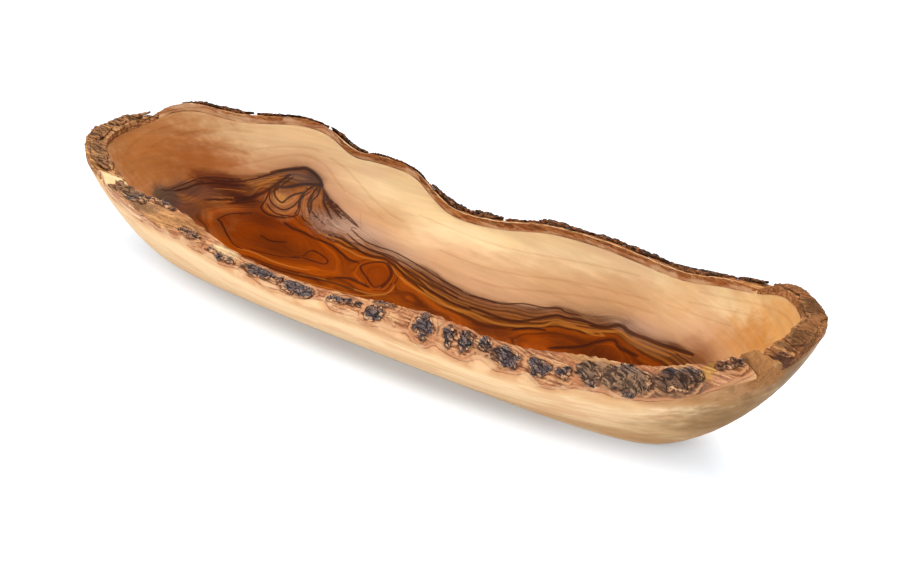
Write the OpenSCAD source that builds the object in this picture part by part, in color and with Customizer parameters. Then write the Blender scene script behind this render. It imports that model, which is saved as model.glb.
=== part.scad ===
// Live-edge dough bowl, carved from half a small log with its bark left on the rim.
// X runs along the bowl with the tall end at +X, the front of the rim is at -Y, and Z is up.
// Places around the rim are degrees, turned anticlockwise from the tall end as seen from above.

/* [Bowl] */
// Length of the bowl from tip to tip
bowl_l = 426; // [340:2:520]
// Width of the bowl at the middle of its length
bowl_w = 132; // [112:2:160]
// Height of the wood at the tall end
rim_h = 85; // [70:1:110]
// Width of the rim band, from its inner to its outer edge
band_w = 12; // [9:0.5:15]
// Thickness of the wood under the hollow
floor_t = 13; // [8:0.5:18]

/* [Foot] */
// Length of the flat that the bowl rests on
foot_l = 302; // [240:2:330]
// Width of the flat that the bowl rests on
foot_w = 36; // [24:1:50]
// How far the foot lies towards the low end
foot_shift = 17; // [0:1:28]

/* [Hollow] */
// Length of the level floor inside the bowl
floor_l = 256; // [200:2:290]
// Width of the level floor inside the bowl
floor_w = 26; // [16:1:36]

/* [Bark] */
// Thickness of the inner bark, the brown fibrous layer on the wood
inner_bark_t = 4.5; // [3:0.25:7]
// Thickness of the outer bark, the dark plates on the inner bark
outer_bark_t = 2.2; // [1.2:0.1:4]
// Height of the waves in the inner bark
bark_wave = 0.5; // [0:0.1:1]
// Clearance under a plate of outer bark
seat_gap = 0.2; // [0.1:0.05:0.4]

/* [Fineness] */
// Number of stations around the rim
stations = 144; // [96:12:180]
// Number of rings from the foot to the rim, and again down into the hollow
wall_rings = 8; // [6:1:10]
// Number of strips across the rim band
band_strips = 4; // [3:1:5]

/* [Hidden] */
// Each row of the rim: its degrees, the heights of the wood's outer and inner edges as shares
// of rim_h, and the inner bark's thickness at those edges as shares of inner_bark_t
rim_shares = [
    [0, 0.99, 0.965, 0.9, 0.9], [10, 0.965, 0.975, 0.9, 0.9], [20, 0.94, 0.97, 1, 1],
    [28, 0.87, 0.87, 1, 1], [36, 0.755, 0.79, 1, 1], [45, 0.655, 0.695, 1, 1],
    [55, 0.59, 0.67, 1, 1], [63, 0.59, 0.66, 1, 1], [71, 0.545, 0.635, 1, 1],
    [78, 0.535, 0.6, 1, 1], [85, 0.48, 0.54, 1, 1], [92, 0.41, 0.495, 1, 1],
    [98, 0.39, 0.48, 1, 1], [103, 0.405, 0.495, 1, 1], [107, 0.445, 0.565, 1, 1],
    [111, 0.495, 0.66, 1, 1], [116, 0.555, 0.68, 1, 1], [122, 0.565, 0.68, 1, 1],
    [126, 0.575, 0.67, 1, 1], [131, 0.67, 0.78, 1, 1], [137, 0.68, 0.795, 1, 1],
    [144, 0.67, 0.755, 1, 1], [150, 0.67, 0.74, 1, 1], [156, 0.69, 0.775, 1, 1],
    [162, 0.66, 0.76, 1, 1], [168, 0.61, 0.69, 1, 1], [174, 0.625, 0.66, 1, 0.9],
    [180, 0.625, 0.645, 1, 0.9], [189, 0.635, 0.645, 1, 0.9], [197, 0.645, 0.635, 0.9, 0.9],
    [205, 0.66, 0.625, 0.7, 0.9], [213, 0.665, 0.625, 0.45, 0.8], [222, 0.645, 0.665, 0.35, 0.8],
    [228, 0.635, 0.635, 0.35, 0.8], [233, 0.625, 0.595, 0.35, 0.8], [241, 0.595, 0.57, 0.35, 0.8],
    [250, 0.575, 0.57, 0.35, 0.8], [260, 0.575, 0.58, 0.35, 0.8], [268, 0.595, 0.61, 0.35, 0.8],
    [274, 0.605, 0.635, 0.35, 0.8], [282, 0.575, 0.66, 0.35, 0.8], [289, 0.57, 0.665, 0.35, 0.8],
    [298, 0.545, 0.64, 0.35, 0.8], [306, 0.56, 0.64, 0.35, 0.8], [315, 0.595, 0.69, 0.35, 0.8],
    [325, 0.61, 0.71, 0.45, 0.8], [332, 0.695, 0.76, 0.55, 0.8], [340, 0.8, 0.83, 0.65, 0.8],
    [349, 0.88, 0.905, 0.8, 0.9]];
OUTER_EDGE = 1;
INNER_EDGE = 2;
OUTER_BARK = 3;
INNER_BARK = 4;

// Roundness of the plan at the low end, at the tall end and at the foot: 2 is an ellipse
low_end_power = 2;
tall_end_power = 2.2;
foot_power = 3.2;
// How much wider the low half is than the tall half
low_half_share = 0.1;
// Degrees by which the stations are drawn in from the long sides towards the tips
station_pull_degrees = 11.5;
// Width in degrees of the stretch of rim that the wall follows lower down
wall_reach_degrees = 24;
// Powers that round the walls, at the tips and at the long sides, outside and inside
out_spread_powers = [1.47, 2];
out_rise_powers = [1.66, 1.44];
in_spread_powers = [1.4, 1.6];
in_rise_powers = [1.8, 1.5];
// Power that keeps the unevenness of the rim near the rim
rim_hold_power = 3;

// Degrees that a stretch of bark takes to thin out at its end, and its least thickness there
bark_end_degrees = 2.5;
bark_end_share = 0.55;
// Crown of the inner bark across the band
bark_crown_share = 0.15;

// Each stretch of inner bark: its name, where it starts and ends as shares of a turn around the
// rim, and the plates of outer bark on it. Each plate: its start and end as shares of the stretch,
// its edges across the band as shares from the inner edge, its thickness as a share of outer_bark_t
bark_stretch_shares = [
    ["left_end", 0.461, 0.5695, [
        [0.027, 0.308, 0.12, 0.95, 0.8], [0.334, 0.59, 0.2, 0.95, 1.1],
        [0.615, 0.948, 0.08, 0.85, 1]]],
    ["front", 0.578, 0.953, [
        [0.003, 0.066, 0.3, 0.95, 1], [0.044, 0.103, 0.05, 0.27, 0.7],
        [0.136, 0.17, 0.45, 0.8, 0.6], [0.192, 0.24, 0.6, 0.93, 0.7],
        [0.248, 0.318, 0.25, 0.78, 0.9], [0.322, 0.381, 0.28, 0.88, 1.1],
        [0.407, 0.466, 0.3, 0.62, 0.7], [0.477, 0.507, 0.35, 0.96, 1.1],
        [0.477, 0.518, 0.03, 0.2, 0.6], [0.557, 0.588, 0.15, 0.85, 1.1],
        [0.603, 0.622, 0.2, 0.8, 1.1], [0.625, 0.649, 0.06, 0.82, 1.1],
        [0.651, 0.675, 0.12, 0.5, 0.8], [0.677, 0.716, 0.2, 0.85, 1.2],
        [0.723, 0.755, 0.38, 0.88, 1], [0.758, 0.78, 0.5, 0.86, 0.8], [0.785, 0.814, 0.3, 0.9, 1],
        [0.817, 0.873, 0.12, 0.96, 1.2], [0.876, 0.936, 0.12, 0.97, 1.3],
        [0.955, 0.996, 0.08, 0.6, 1]]],
    ["right_end", 0.968, 1.0775, [
        [0.013, 0.102, 0.12, 0.94, 1], [0.115, 0.394, 0.1, 0.94, 0.8],
        [0.406, 0.698, 0.1, 0.94, 0.8], [0.711, 0.952, 0.15, 0.94, 0.7]]],
    ["back", 0.079, 0.4595, [
        [0.011, 0.062, 0.4, 0.97, 0.8], [0.066, 0.161, 0.3, 0.97, 1],
        [0.165, 0.23, 0.35, 0.97, 1.3], [0.234, 0.285, 0.3, 0.97, 1],
        [0.289, 0.384, 0.35, 0.97, 1.2], [0.387, 0.449, 0.55, 0.97, 0.6],
        [0.453, 0.508, 0.3, 0.97, 1.6], [0.511, 0.584, 0.3, 0.97, 1.4],
        [0.588, 0.69, 0.4, 0.97, 0.9], [0.694, 0.749, 0.3, 0.97, 1.3],
        [0.752, 0.851, 0.35, 0.97, 0.9], [0.855, 0.953, 0.3, 0.97, 1]]]];
STRETCH_START = 1;
STRETCH_END = 2;
PLATES = 3;
// Degrees between the columns of a plate, and the least number of columns
plate_step_degrees = 1.6;
plate_columns_min = 3;
// Number of strips across a plate
plate_strips = 3;
// Width of a plate at its two ends, thickness at its edges, and unevenness of both
plate_end_share = 0.45;
plate_edge_share = 0.55;
plate_ragged_share = 0.14;
plate_rough_share = 0.22;

// A place between two values
function mix(a, b, share) = a + (b - a) * share;

// Row of the rim by number, counted on past the last row into the next turn
function rim_row(i) =
    let (n = len(rim_shares), turns = floor(i / n), row = rim_shares[i - turns * n])
    concat([row[0] + 360 * turns], [for (c = [OUTER_EDGE:INNER_BARK]) row[c]]);

// Smooth curve through the rows of one column, at any number of degrees
function rim_share(degrees, column) =
    let (k = degrees - 360 * floor(degrees / 360),
         i = max([for (j = [0:len(rim_shares) - 1]) if (rim_shares[j][0] <= k) j]),
         before = rim_row(i - 1), start = rim_row(i), end = rim_row(i + 1), after = rim_row(i + 2),
         span = end[0] - start[0], s = (k - start[0]) / span,
         lead_in = (end[column] - before[column]) / (end[0] - before[0]) * span,
         lead_out = (after[column] - start[column]) / (after[0] - start[0]) * span)
    (2 * s * s * s - 3 * s * s + 1) * start[column] + (s * s * s - 2 * s * s + s) * lead_in
    + (3 * s * s - 2 * s * s * s) * end[column] + (s * s * s - s * s) * lead_out;

function rim_height(degrees, column) = rim_h * rim_share(degrees, column);

// The same curve evened out, for the wall below the rim
wall_samples = [-1:1 / 3:1];
function even_height(degrees, column) =
    let (heights = [for (s = wall_samples) rim_height(degrees + s * wall_reach_degrees, column)])
    (heights * [for (h = heights) 1]) / len(heights);

// Direction of a station as seen from the middle of an evenly drawn oval
function bearing(degrees) = degrees + station_pull_degrees * sin(2 * degrees);
function signed_pow(v, power) = sign(v) * pow(abs(v), power);
function end_power(degrees) =
    let (s = (1 + cos(bearing(degrees))) / 2)
    mix(low_end_power, tall_end_power, s * s * (3 - 2 * s));
function oval(degrees, half_l, half_w, power) = [
    half_l * signed_pow(cos(bearing(degrees)), 2 / power),
    half_w * signed_pow(sin(bearing(degrees)), 2 / power)];
function rim_plan(degrees, inset) =
    let (p = oval(degrees, bowl_l / 2 - inset, bowl_w / 2 - inset, end_power(degrees)))
    [p[0], p[1] * (1 - low_half_share * p[0] / (bowl_l / 2))];
function base_plan(degrees, length, width) =
    oval(degrees, length / 2, width / 2, foot_power) - [foot_shift, 0];

// Point on a wall that rounds up from a level base to the rim: turn is 0 at the base, 90 at the rim
function wall_point(degrees, turn, base, rim, base_z, column, spread, rise) =
    let (side = pow(sin(bearing(degrees)), 2),
         out = pow(sin(turn), mix(spread[0], spread[1], side)),
         up = 1 - pow(cos(turn), mix(rise[0], rise[1], side)),
         even = even_height(degrees, column), edge = rim_height(degrees, column),
         plan = mix(base, rim, out))
    [plan[0], plan[1], base_z + (even - base_z) * up + (edge - even) * pow(up, rim_hold_power)];

function outside_point(degrees, turn) = wall_point(degrees, turn,
    base_plan(degrees, foot_l, foot_w), rim_plan(degrees, 0), 0,
    OUTER_EDGE, out_spread_powers, out_rise_powers);
function inside_point(degrees, turn) = wall_point(degrees, turn,
    base_plan(degrees, floor_l, floor_w), rim_plan(degrees, band_w), floor_t,
    INNER_EDGE, in_spread_powers, in_rise_powers);

// Point on the wood of the rim band: across is 0 at the inner edge, 1 at the outer edge
function band_point(degrees, across) =
    mix(inside_point(degrees, 90), outside_point(degrees, 90), across);

// Top of the inner bark above the same place
wave_counts = [31, 17];
function bark_top(degrees, across) =
    let (edge = mix(rim_share(degrees, INNER_BARK), rim_share(degrees, OUTER_BARK), across),
         crown = bark_crown_share * 4 * across * (1 - across),
         wave = sin(degrees * wave_counts[0]) * cos(180 * across + degrees * wave_counts[1]))
    band_point(degrees, across) + [0, 0, inner_bark_t * (edge + crown) + bark_wave * wave / 2];

// Two triangles between four neighbours of two rows, turned to face the same way
function two_faces(a, b, c, d) = [[a, b, c], [a, c, d]];
function joined(lists) = [for (list = lists) each list];

// A stretch of bark by name, and its first and last degrees
function stretch(name) = bark_stretch_shares[search([name], bark_stretch_shares)[0]];
function bark_reach(name) = [360 * stretch(name)[STRETCH_START], 360 * stretch(name)[STRETCH_END]];

// Closed sheet with a top and a bottom: both are grids of columns along and rows across
module sheet(top, bottom) {
    columns = len(top) - 1;
    rows = len(top[0]) - 1;
    under = (columns + 1) * (rows + 1);
    function at(c, r) = c * (rows + 1) + r;
    polyhedron(
        points = concat(joined(top), joined(bottom)),
        faces = concat(
            joined([for (c = [0:columns - 1], r = [1:rows])
                two_faces(at(c, r), at(c, r - 1), at(c + 1, r - 1), at(c + 1, r))]),
            joined([for (c = [0:columns - 1], r = [1:rows]) [
                [under + at(c, r), under + at(c + 1, r - 1), under + at(c, r - 1)],
                [under + at(c, r), under + at(c + 1, r), under + at(c + 1, r - 1)]]]),
            joined([for (c = [0:columns - 1])
                two_faces(under + at(c, 0), under + at(c + 1, 0), at(c + 1, 0), at(c, 0))]),
            joined([for (c = [0:columns - 1])
                two_faces(at(c, rows), at(c + 1, rows),
                          under + at(c + 1, rows), under + at(c, rows))]),
            joined([for (r = [1:rows])
                two_faces(under + at(0, r), under + at(0, r - 1), at(0, r - 1), at(0, r))]),
            joined([for (r = [1:rows])
                two_faces(under + at(columns, r - 1), under + at(columns, r),
                          at(columns, r), at(columns, r - 1))])));
}

// The bowl itself, in rings: up the outside, over the rim band and down into the hollow
module carved_bowl() {
    station_degrees = [for (i = [0:stations - 1]) 360 * i / stations];
    turns = [for (i = [0:wall_rings]) 90 * i / wall_rings];
    band_shares = [for (i = [1:band_strips - 1]) 1 - i / band_strips];
    rings = concat(
        [for (turn = turns) [for (k = station_degrees) outside_point(k, turn)]],
        [for (share = band_shares) [for (k = station_degrees) band_point(k, share)]],
        [for (i = [0:wall_rings]) [for (k = station_degrees) inside_point(k, turns[wall_rings - i])]]);
    last = len(rings) * stations;
    function at(ring, i) = 1 + ring * stations + i % stations;
    color("burlywood")
        polyhedron(
            points = concat([[-foot_shift, 0, 0]], joined(rings), [[-foot_shift, 0, floor_t]]),
            faces = concat(
                [for (i = [0:stations - 1]) [0, at(0, i), at(0, i + 1)]],
                joined([for (ring = [0:len(rings) - 2], i = [0:stations - 1])
                    two_faces(at(ring, i), at(ring + 1, i), at(ring + 1, i + 1), at(ring, i + 1))]),
                [for (i = [0:stations - 1])
                    [last + 1, at(len(rings) - 1, i + 1), at(len(rings) - 1, i)]]));
}

// A stretch of inner bark, seated face to face on the wood of the band
module inner_bark(name) {
    reach = bark_reach(name);
    step = 360 / stations;
    inner_stations = [for (i = [ceil(reach[0] / step):floor(reach[1] / step)]) i * step];
    columns = concat(
        [if (reach[0] < inner_stations[0] - step / 8) reach[0]], inner_stations,
        [if (reach[1] > inner_stations[len(inner_stations) - 1] + step / 8) reach[1]]);
    across = [for (i = [0:band_strips]) i / band_strips];
    function thinning(k) =
        mix(bark_end_share, 1, min(1, min(k - reach[0], reach[1] - k) / bark_end_degrees));
    bottom = [for (k = columns) [for (share = across) band_point(k, share)]];
    top = [for (k = columns) [for (share = across)
        mix(band_point(k, share), bark_top(k, share), thinning(k))]];
    color("sienna")
        sheet(top, bottom);
}

// One plate of outer bark: blunt, ragged and rough, a clearance above the inner bark
module outer_bark(name, number) {
    plate = stretch(name)[PLATES][number - 1];
    ends = bark_reach(name);
    reach = [mix(ends[0], ends[1], plate[0]), mix(ends[0], ends[1], plate[1])];
    columns = max(plate_columns_min, round((reach[1] - reach[0]) / plate_step_degrees));
    ragged = rands(-plate_ragged_share, plate_ragged_share, 2 * (columns + 1), number + 1);
    rough = rands(-plate_rough_share, plate_rough_share, (columns + 1) * (plate_strips + 1), number);
    thickness = outer_bark_t * plate[4];
    // Places on the plate: along and across run from -1 to 1
    function along(c) = 2 * c / columns - 1;
    function across(r) = 2 * r / plate_strips - 1;
    function degrees(c) = mix(reach[0], reach[1], c / columns);
    function half_width(c) = mix(plate_end_share, 1, sqrt(1 - pow(abs(along(c)), 3)));
    function share(c, r) =
        mix(plate[2], plate[3], (1 + across(r) * half_width(c)) / 2)
        + (plate[3] - plate[2]) * ragged[2 * c + (r > 0 ? 1 : 0)] * pow(across(r), 2) * -across(r);
    function height(c, r) =
        thickness * (plate_edge_share + rough[c * (plate_strips + 1) + r]
        + (1 - plate_edge_share) * (1 - pow(along(c), 4)) * (1 - pow(across(r), 4)));
    bottom = [for (c = [0:columns]) [for (r = [0:plate_strips])
        bark_top(degrees(c), share(c, r)) + [0, 0, seat_gap]]];
    top = [for (c = [0:columns]) [for (r = [0:plate_strips])
        bottom[c][r] + [0, 0, height(c, r)]]];
    color([0.2, 0.17, 0.16])
        sheet(top, bottom);
}

module inner_bark_left_end() inner_bark("left_end");
module inner_bark_front() inner_bark("front");
module inner_bark_right_end() inner_bark("right_end");
module inner_bark_back() inner_bark("back");

module outer_bark_left_1() outer_bark("left_end", 1);
module outer_bark_left_2() outer_bark("left_end", 2);
module outer_bark_left_3() outer_bark("left_end", 3);
module outer_bark_front_1() outer_bark("front", 1);
module outer_bark_front_2() outer_bark("front", 2);
module outer_bark_front_3() outer_bark("front", 3);
module outer_bark_front_4() outer_bark("front", 4);
module outer_bark_front_5() outer_bark("front", 5);
module outer_bark_front_6() outer_bark("front", 6);
module outer_bark_front_7() outer_bark("front", 7);
module outer_bark_front_8() outer_bark("front", 8);
module outer_bark_front_9() outer_bark("front", 9);
module outer_bark_front_10() outer_bark("front", 10);
module outer_bark_front_11() outer_bark("front", 11);
module outer_bark_front_12() outer_bark("front", 12);
module outer_bark_front_13() outer_bark("front", 13);
module outer_bark_front_14() outer_bark("front", 14);
module outer_bark_front_15() outer_bark("front", 15);
module outer_bark_front_16() outer_bark("front", 16);
module outer_bark_front_17() outer_bark("front", 17);
module outer_bark_front_18() outer_bark("front", 18);
module outer_bark_front_19() outer_bark("front", 19);
module outer_bark_front_20() outer_bark("front", 20);
module outer_bark_right_1() outer_bark("right_end", 1);
module outer_bark_right_2() outer_bark("right_end", 2);
module outer_bark_right_3() outer_bark("right_end", 3);
module outer_bark_right_4() outer_bark("right_end", 4);
module outer_bark_back_1() outer_bark("back", 1);
module outer_bark_back_2() outer_bark("back", 2);
module outer_bark_back_3() outer_bark("back", 3);
module outer_bark_back_4() outer_bark("back", 4);
module outer_bark_back_5() outer_bark("back", 5);
module outer_bark_back_6() outer_bark("back", 6);
module outer_bark_back_7() outer_bark("back", 7);
module outer_bark_back_8() outer_bark("back", 8);
module outer_bark_back_9() outer_bark("back", 9);
module outer_bark_back_10() outer_bark("back", 10);
module outer_bark_back_11() outer_bark("back", 11);
module outer_bark_back_12() outer_bark("back", 12);

carved_bowl();
inner_bark_left_end();
inner_bark_front();
inner_bark_right_end();
inner_bark_back();
outer_bark_left_1();
outer_bark_left_2();
outer_bark_left_3();
outer_bark_front_1();
outer_bark_front_2();
outer_bark_front_3();
outer_bark_front_4();
outer_bark_front_5();
outer_bark_front_6();
outer_bark_front_7();
outer_bark_front_8();
outer_bark_front_9();
outer_bark_front_10();
outer_bark_front_11();
outer_bark_front_12();
outer_bark_front_13();
outer_bark_front_14();
outer_bark_front_15();
outer_bark_front_16();
outer_bark_front_17();
outer_bark_front_18();
outer_bark_front_19();
outer_bark_front_20();
outer_bark_right_1();
outer_bark_right_2();
outer_bark_right_3();
outer_bark_right_4();
outer_bark_back_1();
outer_bark_back_2();
outer_bark_back_3();
outer_bark_back_4();
outer_bark_back_5();
outer_bark_back_6();
outer_bark_back_7();
outer_bark_back_8();
outer_bark_back_9();
outer_bark_back_10();
outer_bark_back_11();
outer_bark_back_12();
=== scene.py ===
import math
import bpy
import numpy as np
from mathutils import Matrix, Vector, noise
from mathutils.bvhtree import BVHTree
from mathutils.kdtree import KDTree


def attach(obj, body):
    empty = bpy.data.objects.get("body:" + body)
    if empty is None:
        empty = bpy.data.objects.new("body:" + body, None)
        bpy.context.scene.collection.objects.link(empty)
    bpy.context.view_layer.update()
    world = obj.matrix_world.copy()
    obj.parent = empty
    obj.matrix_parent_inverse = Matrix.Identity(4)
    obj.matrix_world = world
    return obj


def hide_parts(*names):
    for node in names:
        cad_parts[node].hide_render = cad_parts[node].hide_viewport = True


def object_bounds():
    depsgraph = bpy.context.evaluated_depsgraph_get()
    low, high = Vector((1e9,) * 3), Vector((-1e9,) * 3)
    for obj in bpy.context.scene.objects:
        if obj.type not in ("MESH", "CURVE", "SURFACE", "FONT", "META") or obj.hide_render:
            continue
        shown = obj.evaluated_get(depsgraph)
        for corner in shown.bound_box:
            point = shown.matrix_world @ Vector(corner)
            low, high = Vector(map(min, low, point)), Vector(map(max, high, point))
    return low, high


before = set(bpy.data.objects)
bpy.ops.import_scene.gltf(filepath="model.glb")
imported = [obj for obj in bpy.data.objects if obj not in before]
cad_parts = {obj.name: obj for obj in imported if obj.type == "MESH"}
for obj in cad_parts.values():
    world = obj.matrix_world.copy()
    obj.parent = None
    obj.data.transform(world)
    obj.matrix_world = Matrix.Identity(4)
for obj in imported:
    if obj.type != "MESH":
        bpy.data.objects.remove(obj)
cad_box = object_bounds()

# The camera stands where the photograph was taken. The figure of the wood is drawn further down
# as points of the picture seen from here, so it comes first.
mm = 0.001
picture_width, picture_height = 900, 562
camera_turn, camera_rise = math.radians(35.77), math.radians(31.13)
camera_distance = 1460.08 * mm
camera_aim = Vector((8.74, 3.57, 40.4)) * mm
camera_back = Vector((math.sin(camera_turn) * math.cos(camera_rise),
                      -math.cos(camera_turn) * math.cos(camera_rise), math.sin(camera_rise)))
camera_data = bpy.data.cameras.new("camera")
camera_data.lens, camera_data.sensor_width = 120.35, 36
camera = bpy.data.objects.new("camera", camera_data)
bpy.context.scene.collection.objects.link(camera)
camera.location = camera_aim + camera_back * camera_distance
camera.rotation_euler = (-camera_back).to_track_quat("-Z", "Y").to_euler()
bpy.context.scene.camera = camera


def seen_on(tree, x, y):
    """Where the line of sight through a point of the picture meets a surface, in mm"""
    step_size = camera_data.sensor_width / picture_width
    sight = Vector(((x - picture_width / 2) * step_size,
                    (picture_height / 2 - y) * step_size, -camera_data.lens))
    sight.rotate(camera.rotation_euler)
    return tree.ray_cast(camera.location, sight)[0] / mm


# The bowl: half of a small olive log, hollowed along the grain, sanded and oiled. Pale sapwood
# rings run up to the bark, and the dark, streaked heartwood shows at the bottom of the hollow.
node_names = sorted(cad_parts)
inner_bark_nodes = [name for name in node_names if name.startswith("inner_bark")]
outer_bark_nodes = [name for name in node_names if name.startswith("outer_bark")]


def activate(piece):
    bpy.ops.object.select_all(action="DESELECT")
    piece.select_set(True)
    bpy.context.view_layer.objects.active = piece


def carved_copy(node, name):
    """A welded copy of a node's mesh, to be carved finer"""
    piece = bpy.data.objects.new(name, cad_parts[node].data.copy())
    bpy.context.scene.collection.objects.link(piece)
    piece.data.name = name
    piece.data.materials.clear()
    activate(piece)
    bpy.ops.object.mode_set(mode="EDIT")
    bpy.ops.mesh.select_all(action="SELECT")
    bpy.ops.mesh.remove_doubles(threshold=0.01 * mm)
    bpy.ops.object.mode_set(mode="OBJECT")
    return piece


def mark_vertices(piece, chosen, kind="VERT"):
    bpy.ops.object.mode_set(mode="EDIT")
    bpy.ops.mesh.select_mode(type="VERT")
    bpy.ops.mesh.select_all(action="DESELECT")
    bpy.ops.object.mode_set(mode="OBJECT")
    piece.data.vertices.foreach_set("select", chosen)
    bpy.ops.object.mode_set(mode="EDIT")
    bpy.ops.mesh.select_mode(type=kind)


def lay_grid(piece, rows):
    """The fan of long triangles round the busiest vertex becomes an even grid"""
    edges = np.zeros(len(piece.data.edges) * 2, int)
    piece.data.edges.foreach_get("vertices", edges)
    count = np.bincount(edges, minlength=len(piece.data.vertices))
    mark_vertices(piece, np.arange(len(count)) == count.argmax())
    bpy.ops.mesh.delete(type="VERT")
    bpy.ops.mesh.select_non_manifold(extend=False)
    bpy.ops.mesh.fill_grid(span=rows)
    bpy.ops.object.mode_set(mode="OBJECT")


def quads_with_crisp_edges(piece, crisp):
    bpy.ops.object.mode_set(mode="EDIT")
    bpy.ops.mesh.select_all(action="SELECT")
    bpy.ops.mesh.tris_convert_to_quads(face_threshold=math.radians(70), shape_threshold=math.radians(100))
    bpy.ops.mesh.select_all(action="DESELECT")
    bpy.ops.mesh.select_mode(type="EDGE")
    bpy.ops.mesh.edges_select_sharp(sharpness=math.radians(crisp))
    bpy.ops.transform.edge_crease(value=1)
    bpy.ops.object.mode_set(mode="OBJECT")


def smooth_finer(piece, levels):
    activate(piece)
    bpy.ops.object.modifier_add(type="SUBSURF")
    finer = piece.modifiers[-1]
    finer.levels = finer.render_levels = levels
    bpy.ops.object.modifier_apply(modifier=finer.name)


def places_of(piece):
    places = np.zeros(len(piece.data.vertices) * 3)
    piece.data.vertices.foreach_get("co", places)
    return places.reshape(-1, 3) / mm


def normals_of(piece):
    normals = np.zeros(len(piece.data.vertices) * 3)
    piece.data.vertices.foreach_get("normal", normals)
    return normals.reshape(-1, 3)


def keep_on_surface(piece, name, values):
    values = np.asarray(values, np.float32)
    piece.data.attributes.new(name, "FLOAT", "POINT").data.foreach_set("value", values)


def point_distances(places, points):
    """Distance in mm from each place to the nearest of the points"""
    near = KDTree(len(points))
    for i, point in enumerate(points):
        near.insert(point, i)
    near.balance()
    return np.array([near.find(place)[2] for place in places])


half_length, half_width = cad_box[1].x / mm, cad_box[1].y / mm
below_floor = 12


def turn_degrees(places):
    """Degrees round the rim from the tall end, anticlockwise seen from above"""
    return np.degrees(np.arctan2(places[:, 1] / half_width, places[:, 0] / half_length)) % 360


def inside_hollow(piece):
    """Marks the vertices whose surface faces the inside of the bowl"""
    places, normals = places_of(piece), normals_of(piece)
    outward = places[:, :2] / [half_length ** 2, half_width ** 2]
    outward /= np.linalg.norm(outward, axis=1)[:, None] + 1e-9
    facing = (normals[:, :2] * outward).sum(axis=1) - normals[:, 2] * 0.6
    return (facing < 0) & (places[:, 2] > below_floor)


# The foot and the floor come as two fans of long triangles
grid_rows, rim_angle = 20, 55
bowl = carved_copy("carved_bowl", "bowl")
lay_grid(bowl, grid_rows)
lay_grid(bowl, grid_rows)
quads_with_crisp_edges(bowl, rim_angle)
sharp_edges = [edge for edge in bowl.data.edges if edge.select]
rim_corners = sorted({v for edge in sharp_edges for v in edge.vertices})
rim_places = places_of(bowl)[rim_corners]
smooth_finer(bowl, 1)


def cut_finer(piece, chosen):
    """Halves the faces between the chosen vertices, and keeps the surface's curve"""
    mark_vertices(piece, chosen, "FACE")
    bpy.ops.mesh.subdivide(number_cuts=1, smoothness=1)
    bpy.ops.object.mode_set(mode="OBJECT")


# The mesh is cut finer round the rim and where the heartwood shows in the hollow
knot_at, knot_reach, knot_top = -70, 40, 74
figure_at, figure_reach, figure_top = -10, 178, 58
rim_reach = 13
places = places_of(bowl)
figured_up_to = np.where(abs(places[:, 0] - knot_at) < knot_reach, knot_top, figure_top)
beside_figure = abs(places[:, 0] - figure_at) < figure_reach
figured = inside_hollow(bowl) & beside_figure & (places[:, 2] < figured_up_to)
cut_finer(bowl, figured | (point_distances(places, rim_places) < rim_reach))

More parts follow.
